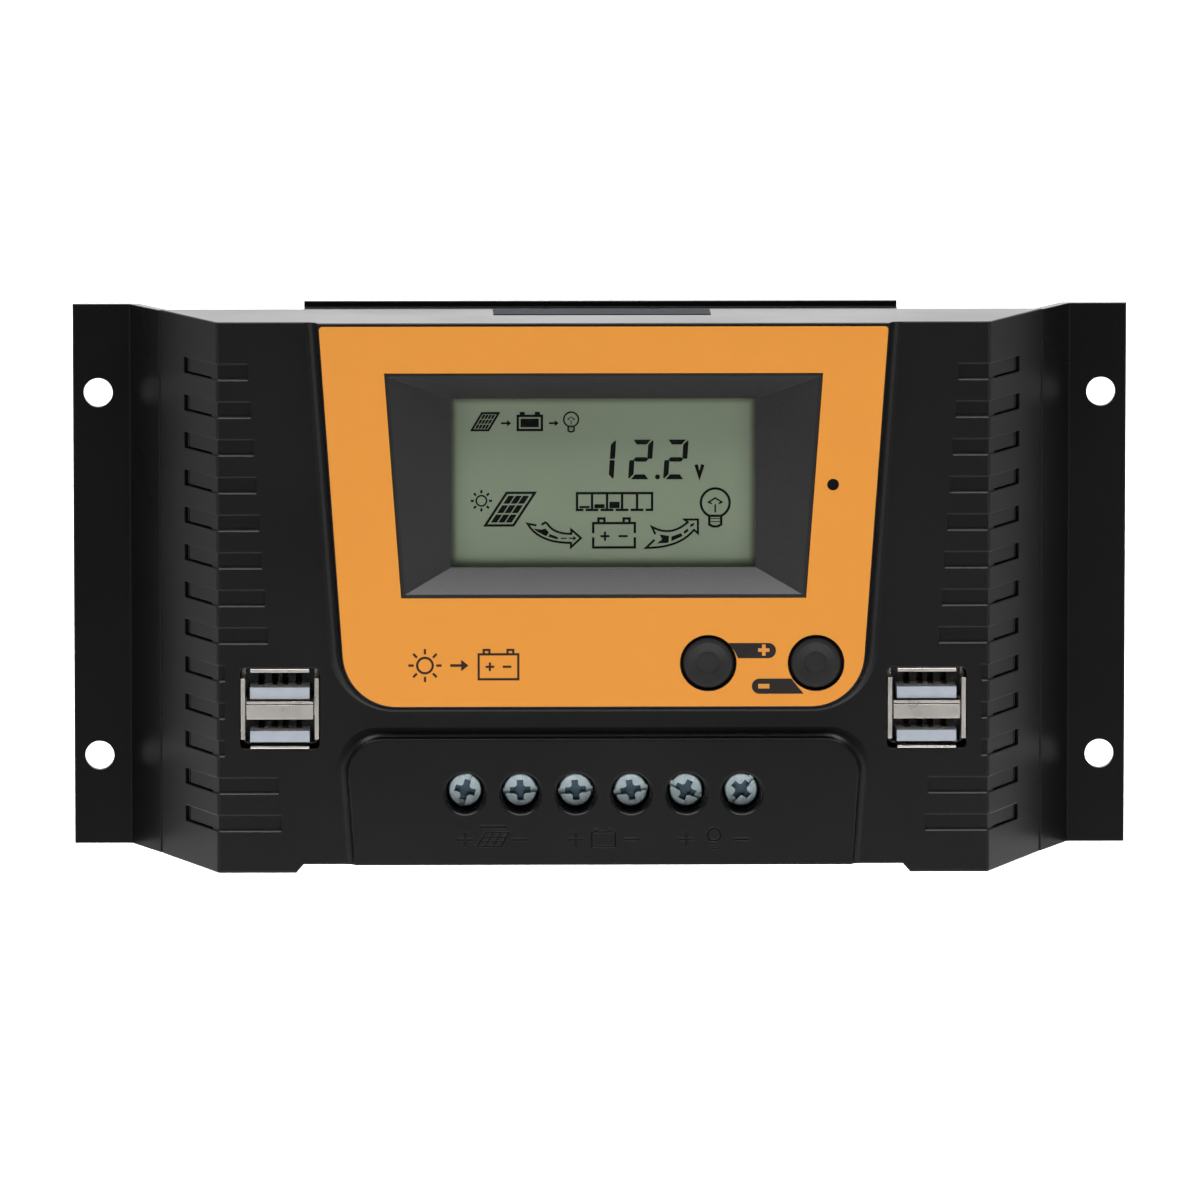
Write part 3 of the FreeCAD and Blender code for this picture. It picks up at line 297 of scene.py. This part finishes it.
def plate_black():
    """Satin coating on bent sheet."""
    finish = Finish((0.004, 0.004, 0.0048), 0.28, gloss_level=0.2).soft_edges(0.3)
    return finish.tone(18.0, 0.15).gloss(14.0, 0.24, 0.34).grain(900.0, 0.004)


def bezel_black():
    """Moulded plastic with a coarse sparkling grain."""
    finish = Finish((0.0095, 0.0095, 0.0098), 0.40, gloss_level=0.46).soft_edges(0.15)
    return finish.tone(60.0, 0.10).grain(2600.0, 0.05, 3.0)


def block_black():
    return Finish((0.0165, 0.0162, 0.0172), 0.5).soft_edges(0.2).tone(60.0, 0.12).grain(4000.0, 0.01)


def button_black():
    finish = Finish((0.030, 0.0290, 0.0285), 0.42, gloss_level=0.15).soft_edges(0.15)
    return finish.tone(120.0, 0.10).grain(6000.0, 0.006)


def label_orange():
    """Printed film."""
    finish = Finish((0.82, 0.318, 0.049), 0.5, gloss_level=0.2)
    return finish.tone(14.0, 0.012).gloss(20.0, 0.46, 0.55).grain(7000.0, 0.003)


def label_grey():
    return Finish((0.026, 0.030, 0.034), 0.75, gloss_level=0.06).tone(200.0, 0.06).grain(5000.0, 0.004)


WINDOW_X = 28.4                  # half width of the display's window, and its foot and top
WINDOW_LOW_Z = 5.6
WINDOW_HIGH_Z = 37.2
WINDOW_SHADE = 1.5               # how far in the display darkens from the window's edge, and how much
WINDOW_SHADE_SHARE = 0.8


def lcd_glass():
    """Grey-green reflector, darker along the window's edges where the frame shades it."""
    finish = Finish((0.262, 0.318, 0.220), 0.6).tone(30.0, 0.03).grain(9000.0, 0.002)
    half_z = (WINDOW_HIGH_Z - WINDOW_LOW_Z) / 2
    across = finish.math("ABSOLUTE", finish.axis("X"))
    from_middle = finish.math("SUBTRACT", finish.axis("Z"), (WINDOW_LOW_Z + half_z) * MM)
    upward = finish.math("ABSOLUTE", from_middle)
    side = finish.smooth(across, (WINDOW_X - WINDOW_SHADE) * MM, WINDOW_X * MM,
                         (0.0, WINDOW_SHADE_SHARE))
    ends = finish.smooth(upward, (half_z - WINDOW_SHADE) * MM, half_z * MM,
                         (0.0, WINDOW_SHADE_SHARE))
    return finish.shade(finish.math("MAXIMUM", side, ends), (0.060, 0.075, 0.038))


def lens_clear():
    return Finish((0.02, 0.022, 0.02), 0.08, alpha=0.06).gloss(40.0, 0.05, 0.12)


def plastic_white():
    return Finish((0.75, 0.75, 0.73), 0.45).tone(80.0, 0.04).grain(3000.0, 0.01)


def board_green():
    return Finish((0.012, 0.085, 0.03), 0.3).tone(260.0, 0.35).grain(1500.0, 0.02)


def drawn_metal(color, roughness):
    """Bare or plated metal with faint lines from drawing and stamping."""
    finish = Finish(color, roughness, 1.0).soft_edges(0.12).tone(300.0, 0.12)
    finish.gloss(900.0, roughness - 0.08, roughness + 0.1, (1.0, 1.0, 6.0))
    return finish.grain(5000.0, 0.004, stretch=(1.0, 1.0, 8.0))


def screw_steel():
    return drawn_metal((0.56, 0.56, 0.55), 0.32)


def cage_steel():
    return drawn_metal((0.55, 0.56, 0.57), 0.35)


def tinned_metal():
    return drawn_metal((0.62, 0.62, 0.60), 0.38)


def usb_metal():
    """Tinned shell, smoother than the drawn parts."""
    finish = Finish((0.83, 0.79, 0.735), 0.30, 1.0).soft_edges(0.12)
    return finish.tone(120.0, 0.03).gloss(200.0, 0.26, 0.34).grain(3000.0, 0.001)


RECESS_D = 39.5                  # the cross recess of a terminal screw lies behind this depth, where the zinc takes a painted shade
RECESS_SHADE_FADE = 0.2


def screw_zinc():
    """Bluish zinc plating, with painted shade in the cross recess."""
    finish = Finish((0.77, 0.92, 1.0), 0.34, 1.0).soft_edges(0.12).tone(700.0, 0.08)
    finish.gloss(1400.0, 0.28, 0.42).grain(3500.0, 0.004)
    # painted shade: the colour darkens past the recess depth, where the cross recess lies in shadow
    depth = finish.smooth(finish.axis("Y"), -RECESS_D * MM, (RECESS_SHADE_FADE - RECESS_D) * MM)
    return finish.shade(depth, (0.16, 0.24, 0.30))


def screw_black():
    return Finish((0.03, 0.03, 0.03), 0.35, 0.6).soft_edges(0.15).tone(400.0, 0.2).grain(3000.0, 0.01)


def contact_brass():
    return Finish((0.78, 0.57, 0.24), 0.28, 1.0).tone(500.0, 0.12).grain(4000.0, 0.004)


def copper_wire():
    return Finish((0.72, 0.30, 0.14), 0.3, 0.9).tone(500.0, 0.12).grain(4000.0, 0.01)


def core_yellow():
    return Finish((0.70, 0.52, 0.06), 0.55).tone(300.0, 0.1).grain(2000.0, 0.03)


def pad_grey():
    return Finish((0.26, 0.33, 0.42), 0.8).tone(200.0, 0.08).grain(2500.0, 0.02)


def chip_black():
    return Finish((0.02, 0.02, 0.02), 0.6).tone(300.0, 0.15).grain(3500.0, 0.02)


def capacitor_sleeve():
    return Finish((0.012, 0.014, 0.03), 0.25).tone(200.0, 0.15).grain(900.0, 0.01)


def fuse_orange():
    return Finish((0.80, 0.20, 0.02), 0.25).tone(200.0, 0.1).grain(1500.0, 0.01)


def light_pipe():
    return Finish((0.004, 0.004, 0.004), 0.35, gloss_level=0.2).tone(300.0, 0.1).grain(3000.0, 0.002)


def usb_dark():
    return Finish((0.075, 0.078, 0.09), 0.5).tone(400.0, 0.15).grain(4000.0, 0.01)


def usb_white():
    return Finish((0.475, 0.52, 0.585), 0.4).tone(400.0, 0.05).grain(4000.0, 0.006)


MATERIALS = (cover_black, plate_black, bezel_black, block_black, button_black, label_orange, label_grey,
             lcd_glass, lens_clear, plastic_white, board_green, screw_steel, cage_steel, tinned_metal,
             usb_metal, screw_zinc, screw_black, contact_brass, copper_wire, core_yellow, pad_grey,
             chip_black, capacitor_sleeve, fuse_orange, light_pipe, usb_dark, usb_white)


def dress_nodes():
    finishes = {make.__name__: make().done(make.__name__) for make in MATERIALS}
    for name, node in NODES.items():
        node.data.materials.clear()
        node.data.materials.append(finishes[SLOTS[name]])


def display_ink():
    return Finish((0.0015, 0.002, 0.0015), 0.6, gloss_level=0.1).tone(400.0, 0.1).done("display_ink")


def print_ink(name, color):
    return Finish(color, 0.5, gloss_level=0.2).tone(200.0, 0.08).grain(7000.0, 0.003).done(name)


# ---------------------------------------------------------------- flat print work
# A shape is a list of polygons, each a list of (x, z) points in millimetres.
MITRE_LIMIT = 0.35               # least cosine that a mitred joint reckons with, which caps its point
WELD = 0.001                     # corners nearer than this are one
PRINT_D = 0.02                   # how far print stands proud, and signs that lie on top of it
SIGN_D = 0.015


def bar(x0, z0, x1, z1):
    return [[(x0, z0), (x1, z0), (x1, z1), (x0, z1)]]


def arc(x, z, radius, start, end, steps=28):
    """Points along an arc, its angles in degrees."""
    angles = [math.radians(start + (end - start) * i / steps) for i in range(steps + 1)]
    return [(x + radius * math.cos(a), z + radius * math.sin(a)) for a in angles]


def disc(x, z, radius, steps=24):
    return [arc(x, z, radius, 0, 360 - 360 / steps, steps - 1)]


def ring(x, z, radius, line, steps=32):
    """A circle drawn with a line, the radius being the outer one."""
    return stroke(arc(x, z, radius - line / 2, 0, 360 - 360 / steps, steps - 1), line, closed=True)


def bend(start, control, end, steps=10):
    """Points along a curve that leaves start and reaches end in the directions of the control point."""
    a, b, c = Vector(start), Vector(control), Vector(end)
    shares = [i / steps for i in range(steps + 1)]
    return [tuple(a.lerp(b, t).lerp(b.lerp(c, t), t)) for t in shares]


def stroke(points, width, closed=False):
    """A line of even width through the points, as one quad a span with mitred joints."""
    count = len(points)
    sides = []
    for i, point in enumerate(points):
        here = Vector(point)
        before = Vector(points[i - 1]) if closed or i > 0 else None
        after = Vector(points[(i + 1) % count]) if closed or i < count - 1 else None
        runs = [(here - before).normalized()] if before is not None else []
        runs += [(after - here).normalized()] if after is not None else []
        along = sum(runs, Vector((0.0, 0.0))).normalized()
        across = Vector((-along.y, along.x))
        reach = width / 2 / max(MITRE_LIMIT, across.dot(Vector((-runs[0].y, runs[0].x))))
        sides.append((here + across * reach, here - across * reach))
    shape = []
    for i in range(count if closed else count - 1):
        (a, b), (c, d) = sides[i], sides[(i + 1) % count]
        shape.append([tuple(a), tuple(b), tuple(d), tuple(c)])
    return shape


def outlined(x0, z0, x1, z1, line):
    """A rectangle drawn with a line inside the given edges."""
    half = line / 2
    corners = [(x0 + half, z0 + half), (x1 - half, z0 + half), (x1 - half, z1 - half), (x0 + half, z1 - half)]
    return stroke(corners, line, closed=True)


def printed(name, shape, y, thickness, finish):
    """One thin mesh from a shape, standing proud of the plane y by its thickness in millimetres."""
    work = bmesh.new()
    for polygon in shape:
        work.faces.new([work.verts.new((x * MM, y, z * MM)) for x, z in polygon])
    bmesh.ops.remove_doubles(work, verts=work.verts, dist=WELD * MM)
    made = bmesh.ops.extrude_face_region(work, geom=list(work.faces), use_keep_orig=True)
    for item in made["geom"]:
        if isinstance(item, bmesh.types.BMVert):
            item.co.y -= thickness * MM
    bmesh.ops.recalc_face_normals(work, faces=work.faces)
    mesh = bpy.data.meshes.new(name)
    work.to_mesh(mesh)
    work.free()
    mesh.materials.append(finish)
    piece = bpy.data.objects.new(name, mesh)
    bpy.context.scene.collection.objects.link(piece)
    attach(piece, "housing")
    return piece


# ---------------------------------------------------------------- pictograms
SUN_RAYS = 8
PANEL_ROWS = 3
STUD_INSET = 0.12                # a battery's studs: place, width and height as shares of the battery's width
STUD_WIDTH = 0.19
STUD_RISE = 0.105
BULB_NECK = 0.46                 # half width of a bulb's neck as a share of its radius


def sun_icon(x, z, radius, line, near, far, ray):
    shape = ring(x, z, radius, line)
    for i in range(SUN_RAYS):
        angle = math.radians(360 / SUN_RAYS * i)
        shape += stroke([(x + r * math.cos(angle), z + r * math.sin(angle)) for r in (near, far)], ray)
    return shape


def panel_icon(x, z, width, height, lean, line, columns):
    """A leaning solar panel with three rows of dark cells; (x, z) is its lower left corner."""
    def at(u, v):
        return (x + u * width + v * lean, z + v * height)

    shape = stroke([at(0, 0), at(1, 0), at(1, 1), at(0, 1)], line, closed=True)
    margin_u, margin_v, gap = 0.13, 0.09, 0.045
    step_u, step_v = (1 - 2 * margin_u + gap) / columns, (1 - 2 * margin_v + gap) / PANEL_ROWS
    for i in range(columns):
        for j in range(PANEL_ROWS):
            u, v = margin_u + i * step_u, margin_v + j * step_v
            shape.append([at(u, v), at(u + step_u - gap, v), at(u + step_u - gap, v + step_v - gap),
                          at(u, v + step_v - gap)])
    return shape


def battery_icon(x0, z0, x1, z1, line, gap=0.0):
    """A box with two studs on top; a gap, if any, breaks both of its sides halfway up."""
    width, middle, half = x1 - x0, (z0 + z1) / 2, line / 2
    if gap:
        shape = []
        for level, edge in ((z0 + half, middle - gap / 2), (z1 - half, middle + gap / 2)):
            half_box = [(x0 + half, edge), (x0 + half, level), (x1 - half, level), (x1 - half, edge)]
            shape += stroke(half_box, line)
    else:
        shape = outlined(x0, z0, x1, z1, line)
    for left in (x0 + STUD_INSET * width, x1 - (STUD_INSET + STUD_WIDTH) * width):
        right, top = left + STUD_WIDTH * width - half, z1 + STUD_RISE * width - half
        shape += stroke([(left + half, z1), (left + half, top), (right, top), (right, z1)], line)
    return shape


def bulb_icon(x, z, radius, line, thin):
    neck = math.degrees(math.asin(BULB_NECK))
    globe = arc(x, z, radius - line / 2, neck - 90, 270 - neck)
    half = BULB_NECK * radius - line / 2
    shape = stroke(globe, line)
    foot = [(x + half, z - 0.84 * radius), (x + half, z - 1.40 * radius), (x + half * 0.4, z - 1.52 * radius),
            (x - half * 0.4, z - 1.52 * radius), (x - half, z - 1.40 * radius), (x - half, z - 0.84 * radius)]
    shape += stroke(foot, line, closed=True)
    for share in (1.02, 1.21):
        shape += bar(x - half, z - share * radius - thin / 4, x + half, z - share * radius + thin / 4)
    roof = [(-0.22, -0.06), (-0.42, 0.04), (0.0, 0.31), (0.42, 0.04), (0.22, -0.06)]
    shape += stroke([(x + u * radius, z + v * radius) for u, v in roof], thin)
    return shape + stroke([(x, z - 0.10 * radius), (x, z - 0.62 * radius)], thin)


def straight_arrow(x0, x1, z, line):
    """A short arrow to the right; the head is 0.4 of its length."""
    neck = x1 - 0.4 * (x1 - x0)
    head = 0.32 * (x1 - x0)
    return bar(x0, z - line / 2, neck, z + line / 2) + [[(neck, z - head), (x1, z), (neck, z + head)]]


def plus(x, z, half, line):
    arm = line / 2
    return (bar(x - half, z - arm, x + half, z + arm) + bar(x - arm, z + arm, x + arm, z + half)
            + bar(x - arm, z - half, x + arm, z - arm))


def minus(x, z, half, line):
    return bar(x - half, z - line / 2, x + half, z + line / 2)


# ---------------------------------------------------------------- display
DIGIT_TOP = 3.72                 # half height of a seven-segment digit
DIGIT_OUTER = 2.14               # half width, and the same to the inner edge of its uprights
DIGIT_INNER = 1.18
DIGIT_LEAN = 0.067
SEGMENT = 0.92
DIGIT_Z = 25.58
DIGITS = ((0.06, "bc"), (7.04, "abged"), (13.57, "abged"))
LINE = 0.46                      # the pictograms' lines, and finer ones
FINE = 0.40
GAUGE_CELLS = 5


def flipped(polygon, along_x, along_z):
    return [(x * along_x, z * along_z) for x, z in polygon]


def segment_digit(x, z, lit):
    """A seven-segment digit round its middle; lit names its segments a to g."""
    top, outer, inner = DIGIT_TOP, DIGIT_OUTER, DIGIT_INNER
    level = [(-outer + 0.5, top), (outer - 0.5, top),
             (inner - 0.27, top - SEGMENT), (-inner + 0.27, top - SEGMENT)]
    upright = [(inner, 0.12), (outer - 0.1, 0.12), (outer, 0.35), (outer, top - 0.28),
               (outer - 0.2, top - 0.14), (inner, top - 0.95)]
    middle = [(-1.38, 0.0), (-0.98, -0.42), (0.98, -0.42), (1.38, 0.0), (0.98, 0.42), (-0.98, 0.42)]
    shapes = {"a": level, "b": upright, "c": flipped(upright, 1, -1), "d": flipped(level, 1, -1),
              "e": flipped(upright, -1, -1), "f": flipped(upright, -1, 1), "g": middle}
    return [[(x + u + v * DIGIT_LEAN, z + v) for u, v in shapes[letter]] for letter in lit]


def reading():
    """The voltage that the display shows."""
    shape = []
    for x, lit in DIGITS:
        shape += segment_digit(x, DIGIT_Z, lit)
    shape += disc(10.15, 22.3, 0.47)
    return shape + stroke([(17.35, 24.6), (17.98, 22.5), (18.6, 24.6)], 0.66)


def status_row():
    """Panel, battery and lamp in small, with arrows from one to the next."""
    shape = panel_icon(-24.5, 31.1, 3.1, 3.2, 1.9, FINE, 4) + straight_arrow(-19.05, -17.15, 32.4, 0.36)
    shape += battery_icon(-16.15, 30.9, -11.2, 34.0, 0.45) + bar(-15.4, 31.65, -12.0, 33.25)
    shape += straight_arrow(-10.1, -8.3, 32.4, 0.36) + bulb_icon(-5.97, 33.1, 1.52, 0.3, 0.16)
    return shape


def charge_gauge():
    """Five cells in a row, the first three part filled, over a dashed base."""
    x, z, width, height = -5.1, 15.9, 14.47, 3.6
    half, cell = LINE / 2, (width - LINE) / GAUGE_CELLS
    left, right, top = x + half, x + width - half, z + height - half
    shape = stroke([(left, z + LINE), (left, top), (right, top), (right, z + LINE)], LINE)
    for i in range(GAUGE_CELLS + 1):
        middle = left + i * cell
        shape += bar(max(x, middle - 1.2), z, min(x + width, middle + 1.2), z + LINE)
        if 0 < i < GAUGE_CELLS:
            shape += bar(middle - half, z + LINE, middle + half, top - half)
    for i, fill in enumerate((0.42, 0.75, 1.2)):
        low = left + i * cell + 0.45
        shape += bar(low, z + 0.55, low + cell - 0.9, z + 0.55 + fill)
    return shape


def arrow_to_battery():
    """Outlined arrow that curves down to the right, open at its tail, with dashes along its middle."""
    lower = bend((-14.1, 13.55), (-12.0, 9.95), (-6.0, 9.95))
    upper = bend((-5.95, 11.65), (-9.3, 11.65), (-10.4, 13.55))
    shape = stroke([(-12.45, 13.25)] + lower + [(-6.0, 9.15), (-4.15, 10.85), (-5.95, 12.45)] + upper
                   + [(-10.8, 13.8), (-11.5, 13.35)], FINE)
    shape.append([(-13.05, 12.65), (-11.55, 12.45), (-10.75, 12.65), (-10.1, 11.9), (-10.65, 11.2),
                  (-12.1, 11.95)])
    shape.append([(-10.0, 11.65), (-8.4, 11.0), (-8.5, 10.6), (-10.2, 11.1)])
    shape += bar(-7.9, 10.7, -6.8, 10.92)
    return shape + straight_arrow(-6.4, -5.0, 10.82, 0.22)


def arrow_to_lamp():
    """Outlined arrow that curves up to the right, open at its fish tail, with dashes along its middle."""
    upper = bend((9.1, 12.95), (12.6, 10.95), (15.8, 13.8))
    lower = bend((16.95, 12.35), (14.2, 8.95), (8.0, 9.0))
    shape = stroke([(9.75, 11.55)] + upper + [(15.2, 14.3), (17.7, 14.3), (17.7, 11.75)] + lower
                   + [(9.6, 10.5)], FINE)
    shape.append([(10.05, 9.8), (11.0, 10.6), (10.55, 11.5), (12.3, 11.25), (12.2, 9.95)])
    shape.append([(12.75, 10.25), (12.75, 11.1), (14.55, 11.75), (14.85, 11.2)])
    shape.append([(15.2, 11.6), (15.0, 12.0), (15.75, 12.6), (16.0, 12.2)])
    shape.append([(16.2, 12.9), (16.75, 13.05), (17.15, 13.7), (16.3, 13.4)])
    return shape


def flow_row():
    """Sun, panel, gauge, battery and lamp in large, with curved arrows from one to the next."""
    shape = sun_icon(-22.72, 17.87, 1.12, 0.3, 1.4, 2.0, FINE)
    shape += panel_icon(-22.0, 13.25, 5.25, 6.1, 4.0, LINE, 3)
    shape += battery_icon(-2.08, 8.86, 6.15, 13.88, LINE, 0.75) + charge_gauge()
    shape += plus(0.35, 11.2, 0.85, FINE) + minus(3.75, 11.2, 0.85, FINE)
    return shape + arrow_to_battery() + arrow_to_lamp() + bulb_icon(20.93, 17.44, 2.92, LINE, 0.3)


def make_display():
    ink = display_ink()
    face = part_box("lcd_panel")[0][1]
    for name, shape in (("lcd_reading", reading()), ("lcd_status_row", status_row()),
                        ("lcd_flow_row", flow_row())):
        printed(name, shape, face, PRINT_D, ink)


# ---------------------------------------------------------------- print on the face label
TAG_R = 1.42
SIGN_HALF = 1.05
PICTOGRAM_Z = -12.3
PICTOGRAM_LINE = 0.42


def make_label_print():
    """Black tags beside the buttons with their signs, and a row of plain pictograms at the lower left."""
    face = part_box("face_label")[0][1]
    upper = arc(30.7, -9.6, TAG_R, 90, -90, 14)
    upper += [(25.05, -11.02), (24.4, -9.7), (23.4, -8.35), (23.2, -8.18)]
    lower = arc(29.05, -16.28, TAG_R, 90, 270, 14) + [(37.3, -17.7), (36.2, -16.4), (35.0, -14.86)]
    tag_black = print_ink("tag_black", (0.021, 0.018, 0.017))
    tags = printed("button_tags", [upper, lower], face, PRINT_D, tag_black)
    signs = plus(29.85, -9.5, SIGN_HALF, 0.66) + minus(29.85, -16.28, SIGN_HALF, 0.87)
    sign_orange = print_ink("sign_orange", (0.74, 0.31, 0.058))
    signs = printed("button_signs", signs, face - PRINT_D * MM, SIGN_D, sign_orange)
    row = sun_icon(-33.3, PICTOGRAM_Z, 1.66, PICTOGRAM_LINE, 2.1, 3.1, PICTOGRAM_LINE)
    row += straight_arrow(-28.6, -25.2, PICTOGRAM_Z, 0.48)
    row += battery_icon(-23.5, -15.1, -15.7, -10.0, PICTOGRAM_LINE)
    row += plus(-21.2, -12.55, 0.8, 0.4) + minus(-18.0, -12.55, 0.8, 0.4)
    print_brown = print_ink("print_brown", (0.030, 0.017, 0.012))
    pictograms = printed("label_pictograms", row, face, PRINT_D, print_brown)


make_camera()
make_light()
make_floor()
dress_nodes()
make_display()
make_label_print()
